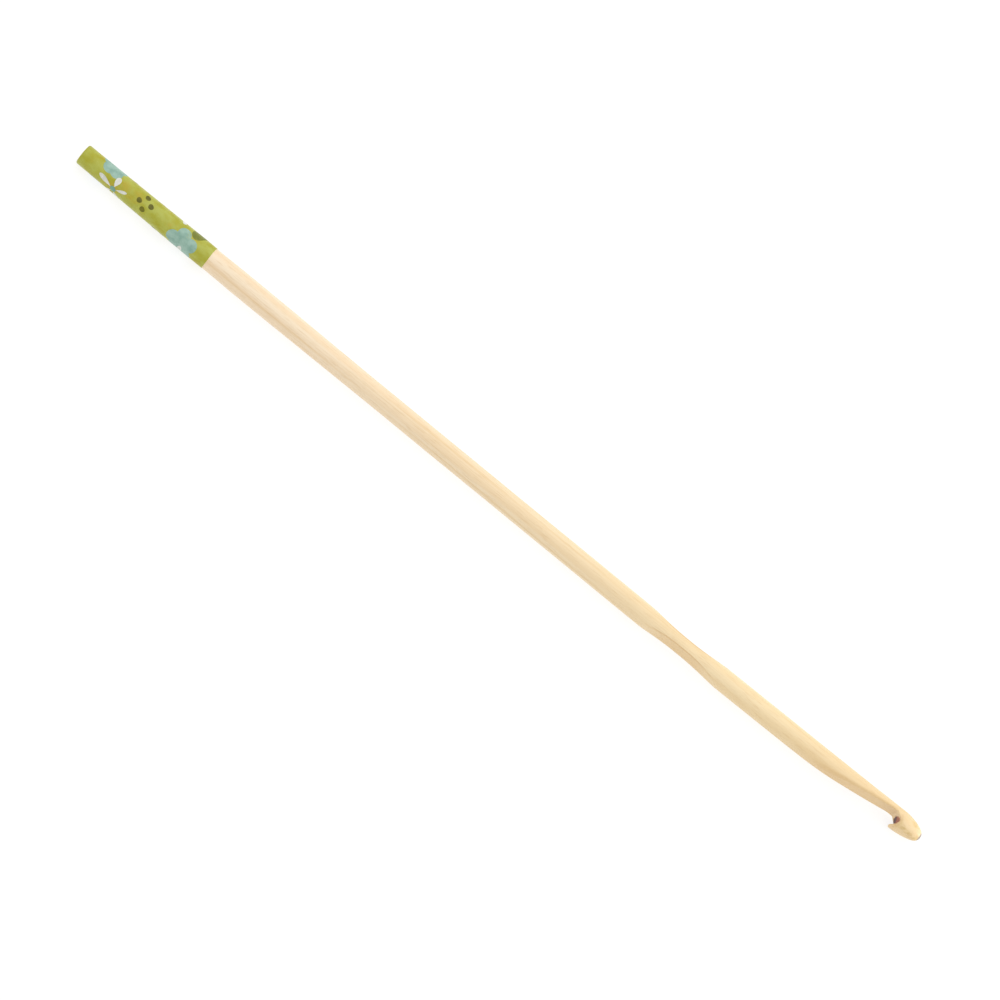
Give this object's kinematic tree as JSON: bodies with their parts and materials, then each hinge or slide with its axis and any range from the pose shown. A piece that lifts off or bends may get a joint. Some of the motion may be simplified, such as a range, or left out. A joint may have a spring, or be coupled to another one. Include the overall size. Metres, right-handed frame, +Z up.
{
  "type": "crochet hook",
  "caption": "One-piece bamboo crochet hook with a flattened thumb rest, a tapered throat and a printed sleeve on its butt end.",
  "frame": {"origin": "under the middle of the hook's box, on the surface it lies on", "axes": "+X from the butt end to the tip, +Z up; the throat opens towards -Y"},
  "size_m": [0.15, 0.0038, 0.0035],
  "materials": {
    "bamboo": "thin satin lacquer over fine straight fibres",
    "printed_film": "smooth glossy film, lime green with printed blossoms"
  },
  "bodies": {
    "root": {"hook_shank": "bamboo", "hook_head": "bamboo", "printed_sleeve": "printed_film"}
  },
  "joints": []
}
